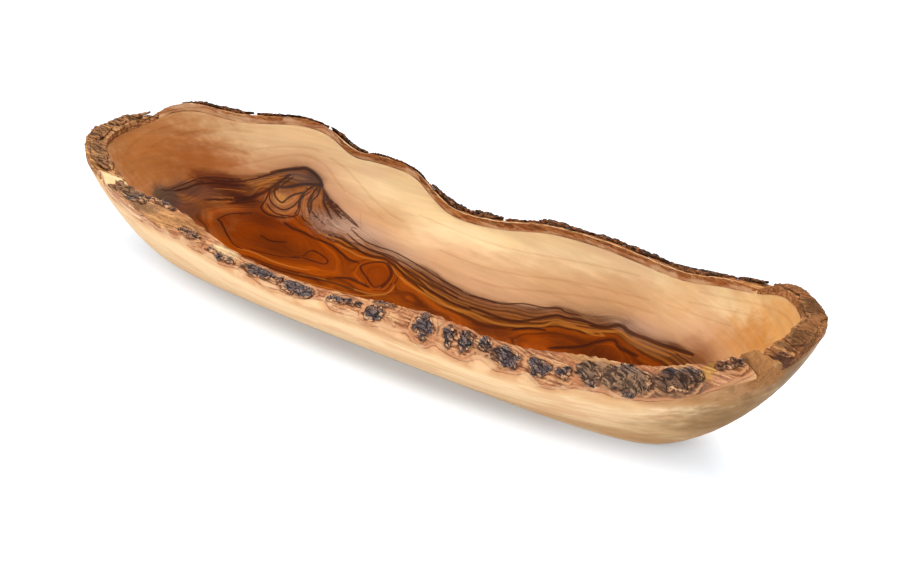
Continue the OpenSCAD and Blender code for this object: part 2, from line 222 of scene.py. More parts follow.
# Growth lines of the heartwood: how deep each lies under the edge of the heartwood, in mm,
# and the points of the picture that it runs through
growth_lines = [
    (0, [(158, 188.5), (171, 186), (185, 179), (199, 173.5), (212, 172.5), (228, 174), (247, 174.5),
        (266, 172), (286, 169), (304, 166.5), (311, 170), (318, 178), (324, 186), (332, 198),
        (341, 209), (350, 218), (361, 227), (375, 238), (389, 249), (403, 257), (424, 265.5),
        (441, 275), (459, 288), (477, 296), (499, 302), (521, 305), (557, 306), (575, 311), (594, 314),
        (612, 315), (627, 319), (640, 332), (661, 341), (686, 350), (704, 358)]),
    (-12, [(330, 240), (340, 242), (354, 247), (368, 253), (382, 256.5), (393, 261), (403, 271),
        (418.5, 286), (438, 300), (459, 312), (480, 321), (501, 325), (535, 326), (558, 326),
        (576, 330), (598, 334), (618, 335), (630, 345), (648, 356), (660, 362)]),
    (-5, [(350, 229), (372, 245), (394, 254), (414, 268), (436, 284), (458, 298), (480, 306),
        (505, 311), (538, 318), (555, 316), (566, 318.5), (579, 322), (598.5, 326), (618, 326),
        (625, 332), (639, 340), (653, 347), (674, 352)]),
    (-22, [(218, 219.5), (224, 216), (232, 214), (246, 213.5), (260, 214), (276, 217), (292, 223),
        (306, 231), (318, 243), (327, 255), (328, 262), (319, 262.5), (305, 261.5), (292, 261),
        (278, 258), (265, 255), (253, 250.5), (241, 246), (232, 240.5), (225, 235)]),
    (-28, [(240, 229), (262, 234), (285, 241), (305, 251)]),
    (-18, [(207, 213), (206, 222), (211, 232), (221, 242), (239, 252), (262, 260), (290, 267),
        (316, 271)]),
    (-20, [(360, 267.5), (367, 265), (375, 263.5), (386, 266.5), (391, 273), (389, 280), (382, 288),
        (371, 287), (364, 277)]),
    (-26, [(377, 275)]),
    (-16, [(352, 263), (363, 261), (375, 260), (387, 261), (394.5, 269), (396, 280), (392, 289.5),
        (382, 294), (368, 292), (354, 285.5), (342, 279)]),
    (-2, [(321, 187.5), (328, 199), (338, 212), (350, 223)]),
    (-5, [(320, 188.5), (324, 200), (331, 214), (342, 227)]),
    (-8, [(318.5, 189), (317, 203), (320, 217), (332, 232), (350, 242)]),
    (-11, [(317, 189), (310, 202), (308, 217), (317, 232)]),
    (-14, [(315, 188.5), (303, 200), (297, 212), (302, 224)]),
    (-9, [(281, 198)]),
    (-12, [(273, 191), (271, 200), (276, 208), (285, 210), (292, 205), (300, 198)]),
    (-16, [(264, 192), (261, 203), (268, 214), (282, 219), (295, 217)]),
    (8, [(150, 184), (164, 181), (180, 172), (195, 165), (215, 163.5), (240, 165), (262, 163)]),
    (6, [(148, 196), (156, 204)]),
    (-4, [(290, 172.5), (300, 174), (310, 177)]),
    (-8, [(286, 178), (296, 181), (307, 184)]),
    (-5, [(160, 194), (176, 192), (192, 184), (210, 180), (230, 181), (250, 182), (268, 179)]),
    (-10, [(161, 201), (178, 200), (196, 193), (214, 189), (234, 190), (254, 191)]),
    (-14, [(165, 207), (185, 207), (200, 203), (218, 200), (240, 200), (256, 202)]),
    (-15, [(410, 290), (425, 302), (440, 310)]),
    (-15, [(205, 230), (240, 256), (280, 272), (320, 283), (360, 297)])]
# Behind the near side of the rim they are guessed, in mm seen from above
hidden_growth_lines = [
    (-15, [(10, 6), (40, 9), (75, 13), (105, 11), (122, 8)]),
    (-13, [(-15, -4), (15, -1), (45, 2), (80, 4), (110, 3)]),
    (-11, [(-150, -8), (-120, -17), (-80, -20), (-40, -19), (0, -16), (40, -14), (80, -11), (115, -6)]),
    (0, [(152, 8), (154, -2)]),
    (0, [(-172, -10), (-160, -20), (-140, -28), (-110, -33), (-70, -36), (-30, -35), (10, -33),
        (50, -31), (85, -28), (115, -23), (140, -14)])]
# Dark veins, each with its half width in mm: round the knot, the fan under it, the wedge to its
# left, the bundle of streaks, the lens and the eye on the floor, and the streaks at the far end
dark_veins = [
    (0.75, [(271, 172.5), (283, 170), (297.5, 169), (305.5, 168), (313.5, 172.5), (320.5, 180),
        (322, 186)]),
    (0.75, [(322, 185), (314.5, 184.5), (303.5, 184), (290.5, 186.5), (279.5, 187.5)]),
    (0.9, [(289, 175.5), (280.5, 181.5), (272, 187.5), (263.5, 192.5), (255, 196), (246.5, 199.5),
        (237, 201)]),
    (0.42, [(293, 177), (286, 182), (281, 186), (275, 191)]),
    (0.42, [(274.5, 173), (266, 175.5), (256.5, 178.5), (245.5, 180.5)]),
    (0.5, [(176, 190.5), (186, 188.5), (196, 184.5), (206, 183.5), (218, 183.5), (230, 185),
        (244, 185.5)]),
    (0.45, [(216, 181), (230, 181.5), (244, 181.5)]),
    (0.3, [(198, 178), (212, 177), (228, 178.5), (240, 179)]),
    (0.3, [(161, 190), (172, 188.5), (184, 184), (196, 179.5)]),
    (0.5, [(271, 187.5), (267.5, 196), (263.5, 203), (261, 208), (266, 213), (273.5, 216),
        (285.5, 218)]),
    (0.5, [(279.5, 186.5), (274.5, 190), (276, 197.5), (282, 202.5), (287.5, 198.5), (293, 195),
        (302.5, 192.5)]),
    (0.35, [(270.5, 190), (269.5, 198.5), (273.5, 204.5), (282, 209.5), (290.5, 208), (297.5, 202),
        (302.5, 195)]),
    (0.35, [(267.5, 204.5), (273.5, 212), (284, 215.5), (296.5, 215.5), (300, 207), (301, 198.5),
        (309.5, 192.5)]),
    (0.5, [(319.5, 185), (314.5, 191), (309.5, 198.5), (308, 206), (309.5, 213)]),
    (0.42, [(320.5, 186.5), (318, 195), (312, 201), (311.5, 210.5)]),
    (0.35, [(316, 185), (305, 192.5), (299, 201), (299, 207), (294, 215.5)]),
    (0.5, [(324, 192.5), (324, 202), (328, 212), (331.5, 219)]),
    (0.5, [(326.5, 197.5), (332.5, 208), (341, 218)]),
    (0.35, [(336.5, 204.5), (342.5, 212), (348.5, 219), (358, 226.5)]),
    (0.5, [(314.5, 238.5), (330.5, 244.5), (340, 252), (348.5, 259), (358, 262.5)]),
    (0.5, [(329, 235), (341, 238.5), (354.5, 247), (368, 255.5), (385, 259), (392, 264), (403, 273.5),
        (415, 282), (433.5, 293), (451.5, 302.5), (469.5, 309)]),
    (0.42, [(352, 238.5), (360.5, 244.5), (372.5, 250.5), (389.5, 258), (403, 267.5), (421, 278.5),
        (439.5, 289.5), (457.5, 298)]),
    (0.42, [(390, 267), (384.5, 262.5), (375, 262), (362, 265), (361, 269), (366.5, 277.5),
        (372.5, 286), (377.5, 287), (385, 283), (390.5, 276)]),
    (0.9, [(388, 264), (391.5, 272.5), (388.5, 280), (382, 287)]),
    (0.35, [(372.5, 290.5), (385, 290.5), (392, 283)]),
    (0.9, [(336.5, 277.5), (348.5, 278.5), (360.5, 283.5), (368, 287)]),
    (0.35, [(303.5, 255.5), (312, 250.5), (323, 256), (328, 261.5), (324, 264), (314.5, 261.5),
        (303.5, 258)]),
    (0.42, [(218, 219.5), (222, 224), (227, 234.5), (233, 243.5), (242, 249)]),
    (0.25, [(218, 219.5), (229, 214), (251, 213)]),
    (0.6, [(285, 223), (292, 228), (302, 232), (315, 238.5)]),
    (0.4, [(250, 249), (262, 252.5), (280, 256.5), (300, 257.5)]),
    (0.7, [(262, 264), (276.5, 270), (302, 276.5), (327.5, 281.5), (353, 289.5)]),
    (0.4, [(248, 256), (268, 264), (296, 272), (322, 278)]),
    (0.3, [(261, 235.5), (271.5, 241), (286.5, 242)]),
    (0.35, [(470, 295.5), (486, 299.5), (502, 304), (522.5, 303.5), (543.5, 307.5), (559.5, 308.5),
        (565.5, 312), (581.5, 316)]),
    (0.6, [(470, 307.5), (479.5, 310), (494, 316), (506.5, 319.5), (522.5, 321), (542, 318),
        (557.5, 315.5), (565.5, 318), (581.5, 320), (597.5, 326), (610.5, 327.5)]),
    (0.9, [(591, 326), (605.5, 327.5), (620, 325), (629.5, 332), (645.5, 338.5), (661.5, 345),
        (677.5, 349.5), (693, 354.5)]),
    (0.75, [(549.5, 348), (581.5, 346.5), (596, 342), (613.5, 340), (620, 348), (637.5, 356)]),
    (0.6, [(512, 330), (528, 328), (545, 330)]),
    (0.45, [(236, 198), (248, 197), (259, 195.5)]),
    (0.4, [(230, 203.5), (244, 202.5), (257, 201)]),
    (0.3, [(238, 200.5), (252, 199.5)]),
    (0.3, [(206, 200), (219, 199.5), (232, 200)]),
    (0.3, [(316, 189), (310.5, 199), (310, 207.5), (315, 215.5), (325, 225)]),
    (0.3, [(310, 191), (300.5, 200), (297.5, 209)]),
    (0.3, [(324, 191), (330, 202), (338, 212), (348, 217.5)]),
    (0.3, [(325, 194), (335, 204), (347, 215), (357, 225)])]
# Two more of the fine streaks in the bundle, side by side
bundle = [(345, 235), (358, 246), (372, 252), (386, 256.5), (401, 264), (418, 274.5), (436, 285.5),
    (456, 296)]
for right, up in ((2, 1.6), (6.5, 5.2)):
    dark_veins.append((0.3, [(x + right, y - up) for x, y in bundle]))
# Lighter, amber veins between the dark ones
light_veins = [
    (0.5, [(300, 273.5), (318, 277.5), (334, 283.5), (354.5, 289.5), (372.5, 294), (387.5, 293),
        (394.5, 286)]),
    (0.6, [(238.5, 248.5), (253.5, 252.5), (270, 260), (289.5, 266.5), (308.5, 270)]),
    (0.42, [(279, 274), (302, 281.5), (327.5, 288), (359.5, 295.5), (385, 295)]),
    (0.42, [(336, 244), (348, 250), (362, 257), (382, 261), (391, 266), (398, 276)]),
    (0.6, [(400, 277), (410, 285), (428, 296), (446, 306), (470, 312.5), (486, 319.5), (498.5, 324),
        (518, 326), (542, 326), (554.5, 322), (569, 326), (589.5, 330), (610.5, 331.5), (620, 331.5),
        (629.5, 338.5), (645.5, 346.5), (669.5, 356)]),
    (0.2, [(215, 188.5), (230, 189.5), (246, 191.5)]),
    (0.2, [(212, 197.5), (222, 197), (233, 197.5)]),
    (0.2, [(208, 202), (218, 202), (230, 202)]),
    (0.35, [(265, 197), (264, 206), (270, 211), (282, 213), (292, 212)]),
    (0.35, [(306, 193), (304, 201), (303, 210)]),
    (0.5, [(258, 185), (268, 181), (278, 177)]),
    (0.35, [(632, 333), (652, 341), (674, 351), (694, 358)]),
    (0.35, [(560, 321), (575, 326), (590, 334), (605, 336)]),
    (0.35, [(277, 191), (279, 197), (283, 199)])]
# Two fine cracks beside the knot, and single rings that show as faint lines in the sapwood
faint_veins = [
    (0.35, [(348.5, 192.5), (354.5, 196), (363, 201), (368, 207), (375, 213), (383.5, 219)]),
    (0.3, [(360.5, 214), (360.5, 222.5), (361, 230)]),
    (0.5, [(228, 166), (250, 163), (272, 158), (292, 155), (310, 157), (326, 166), (336, 180),
        (346, 192)]),
    (0.5, [(330, 158), (345, 168), (358, 182), (372, 198), (388, 212), (404, 222)]),
    (0.4, [(250, 150), (275, 147), (300, 147), (322, 150)]),
    (0.5, [(700, 292), (732, 299), (765, 306), (786, 316), (793, 328), (786, 338), (768, 345)]),
    (0.4, [(690, 302), (722, 309), (752, 316), (774, 325), (778, 335), (764, 342)]),
    (0.4, [(668, 305), (700, 316), (730, 326), (752, 335), (748, 344)]),
    (0.4, [(120, 168), (128, 150), (143, 136), (162, 128), (186, 122)]),
    (0.4, [(132, 176), (140, 158), (156, 144), (178, 135), (205, 130)]),
    (0.5, [(186, 140), (205, 133), (230, 130), (252, 132)]),
    (0.4, [(420, 215), (460, 232), (500, 246), (545, 256), (590, 264), (640, 276)]),
    (0.4, [(440, 250), (480, 266), (520, 275), (560, 280), (600, 288), (650, 300)]),
    (0.5, [(470, 278), (500, 287), (540, 291), (580, 296), (620, 303), (655, 314)])]


def curve_through(line):
    """A smooth curve through a few points, as many short steps"""
    p = [np.array(point, float) for point in [line[0], *line, line[-1]]]
    curve = []
    for a, b, c, d in zip(p, p[1:], p[2:], p[3:]):
        for t in (0, 0.25, 0.5, 0.75):
            curve.append(0.5 * (2 * b + (c - a) * t + (2 * a - 5 * b + 4 * c - d) * t * t
                                + (3 * b - a - 3 * c + d) * t ** 3))
    return curve + [p[-1]]


far_off = 8.0


def vein_sides(tree, veins, places, normals, slack=0.0):
    """How far each place is from the nearest vein, in half widths of it, below 0 on one side.
    Slack is a distance in mm to leave out"""
    nearest = np.full(len(places), far_off)
    for width, line in veins:
        curve = np.array([seen_on(tree, *point) for point in curve_through(line)])
        reach = 6 * width + 1
        around = ((places > curve.min(axis=0) - reach) & (places < curve.max(axis=0) + reach)).all(axis=1)
        nearby, facing, closest = places[around], normals[around], nearest[around]
        for i, (start, end) in enumerate(zip(curve, curve[1:])):
            run = end - start
            share = np.clip((nearby - start) @ run / (run @ run + 1e-9), 0, 1)
            gap = nearby - start - share[:, None] * run
            side = np.where((np.cross(run, gap) * facing).sum(axis=1) < 0, -1, 1)
            to_tip = min(i + 1, len(curve) - 1 - i) / 4
            gap = np.maximum(np.linalg.norm(gap, axis=1) - slack, 0) / (width * min(1, 0.5 + to_tip))
            closest = np.where(gap < abs(closest), side * gap, closest)
        nearest[around] = closest
    return nearest


def line_gap(one, other):
    """The least distance between two lines, in points of the picture"""
    one, other = np.array(curve_through(one)), np.array(curve_through(other))
    return np.linalg.norm(one[:, None] - other, axis=2).min()


def apart_in_sets(veins):
    """Neighbouring veins go into different sets, so that each set's lines lie well apart"""
    sets = [[], [], []]
    for width, line in veins:
        gaps = [min([line_gap(line, other) for _, other in one], default=picture_width) for one in sets]
        sets[int(np.argmax(gaps))].append((width, line))
    return sets


def smooth_field(centres, values, places, softness=40):
    """A smooth field that passes close to the values at the centres, read at the places"""
    def spread(a, b):
        return np.linalg.norm(a[:, None] - b[None], axis=2) ** 3
    def slopes(a):
        return np.c_[np.ones(len(a)), a]
    n = len(centres)
    system = np.zeros((n + 4, n + 4))
    system[:n, :n] = spread(centres, centres) + softness * np.eye(n)
    system[:n, n:] = slopes(centres)
    system[n:, :n] = slopes(centres).T
    weights = np.linalg.solve(system, np.r_[values, np.zeros(4)])
    parts = [spread(part, centres) @ weights[:n] for part in np.array_split(places, 60)]
    return np.concatenate(parts) + slopes(places) @ weights[n:]


def surface_of(nodes):
    corners, faces = [], []
    for name in nodes:
        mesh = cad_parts[name].data
        mesh.calc_loop_triangles()
        faces += [[len(corners) + v for v in tri.vertices] for tri in mesh.loop_triangles]
        corners += [v.co.copy() for v in mesh.vertices]
    return BVHTree.FromPolygons(corners, faces)


def surface_distances(places, tree):
    """Distance in mm from each place to a surface"""
    return np.array([tree.find_nearest(Vector(place) * mm)[3] / mm for place in places])


inner_bark_tree, outer_bark_tree = surface_of(inner_bark_nodes), surface_of(outer_bark_nodes)
hollow_tree = BVHTree.FromObject(bowl, bpy.context.evaluated_depsgraph_get())
# The mesh is cut once more along the fine veins
thin, line_reach = 0.8, 2.3
thin_lines = [(1.0, line) for width, line in dark_veins + light_veins + faint_veins if width < thin]
near_lines = abs(vein_sides(hollow_tree, thin_lines, places_of(bowl), normals_of(bowl))) < line_reach
cut_finer(bowl, inside_hollow(bowl) & near_lines)
bowl_places = places_of(bowl)
in_hollow = inside_hollow(bowl)
bark_near = surface_distances(bowl_places, inner_bark_tree)
plate_near = surface_distances(bowl_places, outer_bark_tree)
# How deep each place of the hollow lies under the edge of the heartwood: from the growth lines,
# and at the foot of the bark from the distance to that edge
above_bowl, bark_foot, every = 200, 0.4, 40
centres, depths = [], []
for depth, line in growth_lines:
    for x, y in line:
        centres.append(seen_on(hollow_tree, x, y))
        depths.append(depth)
for depth, line in hidden_growth_lines:
    for x, y in line:
        centres.append(hollow_tree.ray_cast(Vector((x, y, above_bowl)) * mm, Vector((0, 0, -1)))[0] / mm)
        depths.append(depth)
edge_places = np.array([c for c, d in zip(centres, depths) if d == 0])
for i in np.nonzero(in_hollow & (bark_near < bark_foot))[0][::every]:
    centres.append(Vector(bowl_places[i]))
    depths.append(np.linalg.norm(edge_places - bowl_places[i], axis=1).min())
growth = smooth_field(np.array(centres), np.array(depths, float), bowl_places)
outside_growth, vein_slack = 30, 0.8
keep_on_surface(bowl, "growth", np.where(in_hollow, growth, outside_growth))
keep_on_surface(bowl, "hollow", in_hollow)
keep_on_surface(bowl, "bark_near", bark_near)
keep_on_surface(bowl, "plate_near", plate_near)
vein_sets = {"light_vein": light_veins, "faint_vein": faint_veins}
for number, veins in enumerate(apart_in_sets(dark_veins)):
    vein_sets["dark_vein_" + str(number)] = veins
for name, veins in vein_sets.items():
    for kind, slack in (("", vein_slack), ("_side", 0)):
        sides = np.full(len(bowl_places), far_off)
        sides[in_hollow] = vein_sides(hollow_tree, veins, bowl_places[in_hollow],
                                      normals_of(bowl)[in_hollow], slack)
        keep_on_surface(bowl, name + kind, sides if kind else abs(sides))
# The last ring of the sapwood on the near side, as a line of the picture: it scallops round the
# plates of bark. Places on the bark's side of it count in mm above 0, on the wood's side below
whole_tree = surface_of(node_names)
last_ring = [
    (100, 182), (103.5, 186.5), (108, 193), (114, 199.5), (121, 205), (128.5, 212), (134.5, 217.5),
    (143.5, 222), (152.5, 226.5), (161.5, 232), (170.5, 235.5), (179, 239), (184.5, 242.5),
    (192.5, 248), (201.5, 253), (210.5, 258), (217, 262.5), (229, 266), (238, 269), (243, 272.5),
    (251.5, 278), (260, 283), (270, 287.5), (277, 289.5), (284, 292), (291.5, 295.5), (298, 298),
    (305.5, 297.5), (313, 298.5), (321, 299.5), (327, 302), (329, 306.5), (335, 311.5), (343, 314.5),
    (354, 317), (362, 323.5), (370, 326), (383, 327), (394, 331), (407, 334), (413, 342), (425, 348),
    (435, 345.5), (448, 354.5), (466, 361), (478, 359), (489.5, 366), (499, 372), (513, 375),
    (524, 374.5), (532.5, 381.5), (545, 388.5), (563, 389), (575, 387), (586, 390), (600, 392),
    (611, 396), (624.5, 399), (642, 400.5), (654, 401), (671.5, 400), (686, 400), (698, 396.5),
    (712.5, 391), (726, 386.5), (736, 382), (748, 376), (764, 368)]
# And on the far side, seen from inside: the sapwood reaches up to this line
far_ring = [
    (165, 112), (170.5, 110), (184.5, 107.5), (197, 106.5), (207, 108), (216.5, 112), (229.5, 116.5),
    (240, 119.5), (251.5, 120.5), (263, 122.5), (278.5, 123), (288, 121), (296.5, 123), (306.5, 126.5),
    (318, 127.5), (326, 129), (331, 133.5), (335.5, 140.5), (338, 146.5), (343.5, 151.5), (351.5, 158),
    (360, 160.5), (368, 160.5), (377, 163.5), (389.5, 167), (403.5, 170), (415, 176), (419, 183.5),
    (427, 192.5), (435.5, 201.5), (444.5, 209), (454.5, 218), (470, 224), (495, 229), (520, 231.5),
    (550, 235), (580, 241), (605, 248), (625, 256), (650, 267), (670, 275.5), (690, 281), (710, 285.5),
    (730, 288), (750, 291)]
keep_on_surface(bowl, "past_ring", -vein_sides(whole_tree, [(1.0, last_ring[::-1])], bowl_places,
                                               normals_of(bowl)))
# Two scars on the rim carry no bark: there the wood itself swells to the height of the bark
scar_height, scar_reach, scar_fade, least_scar, low_wall = 4.3, 9, 0.8, 1.3, 45
rim_distance = point_distances(bowl_places, rim_places)
on_ledge = (normals_of(bowl)[:, 2] > 0.5) & ~(in_hollow & (bowl_places[:, 2] < low_wall))
on_ledge &= rim_distance < scar_reach
swell = np.where(on_ledge, 1, np.clip(1 - rim_distance / scar_reach, 0, 1) ** 1.5)
swollen = bowl_places.copy()
turn_from_back = (turn_degrees(bowl_places) - 90) % 360
for before, after in (("left_end", "front"), ("front", "right_end")):
    start, end = [(turn_degrees(places_of(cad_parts["inner_bark_" + name])) - 90) % 360
                  for name in (before, after)]
    middle, reach = (start.max() + end.min()) / 2, max((end.min() - start.max()) / 2, least_scar)
    inside_scar = (reach + scar_fade - abs(turn_from_back - middle)) / scar_fade
    swollen[:, 2] += scar_height * swell * np.clip(inside_scar, 0, 1)
bowl.data.vertices.foreach_set("co", (swollen * mm).ravel())
bowl.data.update()
activate(bowl)
bpy.ops.object.shade_smooth_by_angle(angle=math.radians(50))


def paint(red, green, blue):
    """A finish colour as seen, turned into the renderer's linear values"""
    return tuple((c / 255 / 12.92) if c < 11 else ((c / 255 + 0.055) / 1.055) ** 2.4
                 for c in (red, green, blue)) + (1,)


def feed(inputs, values):
    """Sets a node's inputs by values, by links, or by colours as seen (red, green, blue)"""
    for name, value in values.items():
        if isinstance(value, bpy.types.NodeSocket):
            tree.links.new(value, inputs[name])
        elif inputs[name].type == "RGBA" and len(value) == 3:
            inputs[name].default_value = paint(*value)
        else:
            inputs[name].default_value = value


def step(kind, inputs=None, **settings):
    """A shader node with its settings and inputs, in the tree that is being worked on"""
    made = tree.nodes.new("ShaderNode" + kind)
    for key, value in settings.items():
        setattr(made, key, value)
    feed(made.inputs, inputs or {})
    return made


def sums(operation, a, b=0.0, c=0.0):
    return step("Math", {0: a, 1: b, 2: c}, operation=operation).outputs[0]


def product(a, b):
    return sums("MULTIPLY", a, b)


def swayed(noise_value, reach, base=None):
    """A noise turned into a swing to both sides of 0, or of the base"""
    swing = sums("SUBTRACT", noise_value, 0.5)
    return product(swing, reach) if base is None else sums("MULTIPLY_ADD", swing, reach, base)


def remap(value, low, high, out_low=0.0, out_high=1.0, smooth=True):
    return step("MapRange", {"Value": value, "From Min": low, "From Max": high,
                "To Min": out_low, "To Max": out_high},
                interpolation_type="SMOOTHSTEP" if smooth else "LINEAR").outputs[0]


def blend(factor, a, b, kind="MIX"):
    made = step("Mix", {0: factor, 6: a, 7: b}, data_type="RGBA", blend_type=kind)
    return made.outputs[2]


def lit(colour, light):
    """The colour made lighter or darker by a value around 1"""
    return blend(1.0, colour, light, "MULTIPLY")


def ramp(factor, stops):
    made = step("ValToRGB", {0: factor})
    elements = made.color_ramp.elements
    for element, (position, colour) in zip(elements, (stops[0], stops[-1])):
        element.position, element.color = position, paint(*colour)
    for position, colour in stops[1:-1]:
        elements.new(position).color = paint(*colour)
    return made.outputs[0]


def attribute(name):
    return step("Attribute", attribute_name=name).outputs["Fac"]


def object_mm():
    """Place on the object in millimetres"""
    coordinates = step("TexCoord").outputs["Object"]
    return step("VectorMath", {0: coordinates, "Scale": 1 / mm}, operation="SCALE").outputs[0]


def joined(x, y, z):
    return step("CombineXYZ", {0: x, 1: y, 2: z}).outputs[0]


def clouds(place, scale=1.0, detail=4.0, roughness=0.5, distortion=0.0):
    return step("TexNoise", {"Vector": place, "Scale": scale, "Detail": detail, "Roughness": roughness,
                             "Distortion": distortion}).outputs["Fac"]


def grain_noise(place, stretch, detail=4.0, roughness=0.55):
    """Noise with its cells stretched: stretch is the cell size in mm along X, Y and Z"""
    squeezed = step("Mapping", {"Vector": place, "Scale": [1 / s for s in stretch]}).outputs[0]
    return clouds(squeezed, detail=detail, roughness=roughness)


def new_finish(name):
    """Starts a material: from here on its tree is the one being worked on"""
    global tree, surface
    material = bpy.data.materials.new(name)
    material.use_nodes = True
    tree = material.node_tree
    tree.nodes.clear()
    surface = step("BsdfPrincipled")
    step("OutputMaterial", {"Surface": surface.outputs[0]})
    return material


faint_gloss = 0.05


def coat(colour, roughness, relief, strength, height):
    """Gives the surface its colour and dullness, and a fine relief of a height in mm"""
    bump = step("Bump", {"Strength": strength, "Distance": height * mm, "Height": relief})
    feed(surface.inputs, {"Base Color": colour, "Roughness": roughness,
                          "Specular IOR Level": faint_gloss, "Normal": bump.outputs[0]})


# A stain is a soft-edged patch of wood of another tone: its centre and reach are in mm. The same patch
# also lays painted sheen and painted shade into some colours further down
tree = bpy.data.node_groups.new("stain", "ShaderNodeTree")
for socket in ("Place", "Centre", "Reach"):
    tree.interface.new_socket(socket, in_out="INPUT", socket_type="NodeSocketVector")
tree.interface.new_socket("Edge", in_out="INPUT", socket_type="NodeSocketFloat")
tree.interface.new_socket("Mask", in_out="OUTPUT", socket_type="NodeSocketFloat")
given = tree.nodes.new("NodeGroupInput").outputs
offset = step("VectorMath", {0: given["Place"], 1: given["Centre"]}, operation="SUBTRACT").outputs[0]
shares = step("VectorMath", {0: offset, 1: given["Reach"]}, operation="DIVIDE").outputs[0]
away = step("VectorMath", {0: shares}, operation="LENGTH").outputs["Value"]
away = sums("ADD", away, swayed(grain_noise(given["Place"], (12, 4, 4), detail=3), 0.7))
mask = remap(away, 1.0, sums("SUBTRACT", 1.0, given["Edge"]))
tree.links.new(mask, tree.nodes.new("NodeGroupOutput").inputs["Mask"])
stain = tree


def stained(place, centre, reach, edge=0.8):
    return step("Group", {"Place": place, "Centre": centre, "Reach": reach, "Edge": edge},
                node_tree=stain).outputs["Mask"]


# Ring colours by depth under the edge of the heartwood, from the lens on the floor to the rim
ring_colours = [
    (-32, (148, 62, 0)), (-22.6, (140, 57, 0)), (-22, (124, 49, 1)),
    (-21.3, (144, 59, 0)), (-19, (160, 70, 1)), (-17, (152, 65, 0)),
    (-16, (112, 45, 2)), (-15.2, (152, 68, 2)), (-13.4, (148, 66, 2)),
    (-12.2, (76, 32, 8)), (-11.4, (168, 98, 30)), (-10.4, (130, 68, 16)),
    (-9, (92, 46, 16)), (-8, (156, 92, 38)), (-7, (112, 60, 24)),
    (-6, (146, 88, 42)), (-5, (74, 36, 16)), (-4, (142, 86, 46)),
    (-3, (104, 60, 34)), (-2, (142, 88, 52)), (-1, (100, 60, 38)),
    (-0.1, (124, 82, 56)), (0.9, (172, 126, 90)), (3, (192, 144, 104)),
    (7, (206, 158, 116)), (12, (222, 178, 134)), (19, (241, 205, 156)),
    (27, (250, 218, 168)), (33, (248, 214, 160))]
ring_low, ring_high = -32, 34
oiled_wood = new_finish("oiled olive wood")
place = object_mm()
hollow_mask = attribute("hollow")
slow = grain_noise(place, (60, 16, 16), detail=2)
quick = grain_noise(place, (16, 5, 5), detail=3)
depth = sums("ADD", attribute("growth"), swayed(slow, 4.5, swayed(quick, 2.6)))
rings = ramp(remap(depth, ring_low, ring_high, smooth=False),
             [((d - ring_low) / (ring_high - ring_low), colour) for d, colour in ring_colours])
x, y, z = step("SeparateXYZ", {0: place}).outputs


def streak_noise(cells_along, cells_through, detail):
    """Streaks that follow the rings: cells for each mm along the bowl, and through the rings"""
    lie = joined(product(x, cells_along), product(y, cells_along * 1.6), product(depth, cells_through))
    return clouds(lie, detail=detail, roughness=0.68)


heart_share = remap(depth, 4, -2)
fine_streaks = streak_noise(0.022, 1.3, 8.0)
broad_streaks = streak_noise(0.014, 0.3, 4.0)
heart_light = product(remap(fine_streaks, 0.32, 0.66, 0.5, 1.3, smooth=False),
                   remap(broad_streaks, 0.35, 0.65, 0.74, 1.14, smooth=False))
level = joined(product(x, 0.016), product(y, 0.03), sums("MULTIPLY_ADD", depth, 0.06, product(z, 0.34)))
level_streaks = clouds(level, detail=7.0, roughness=0.62)
sap_light = remap(level_streaks, 0.3, 0.7, 0.86, 1.06, smooth=False)
calm_share = remap(depth, -17, -23, 0.0, 0.65)
heart_light = step("Mix", {0: calm_share, 2: heart_light, 3: 1.0}).outputs[0]
light = step("Mix", {0: heart_share, 2: sap_light, 3: heart_light}).outputs[0]
wood_colour = lit(rings, light)
pinkish = grain_noise(place, (40, 22, 12), detail=3)
pink_share = product(remap(pinkish, 0.42, 0.62, 0.0, 0.36), sums("SUBTRACT", 1.0, heart_share))
wood_colour = blend(pink_share, wood_colour, (222, 170, 132))
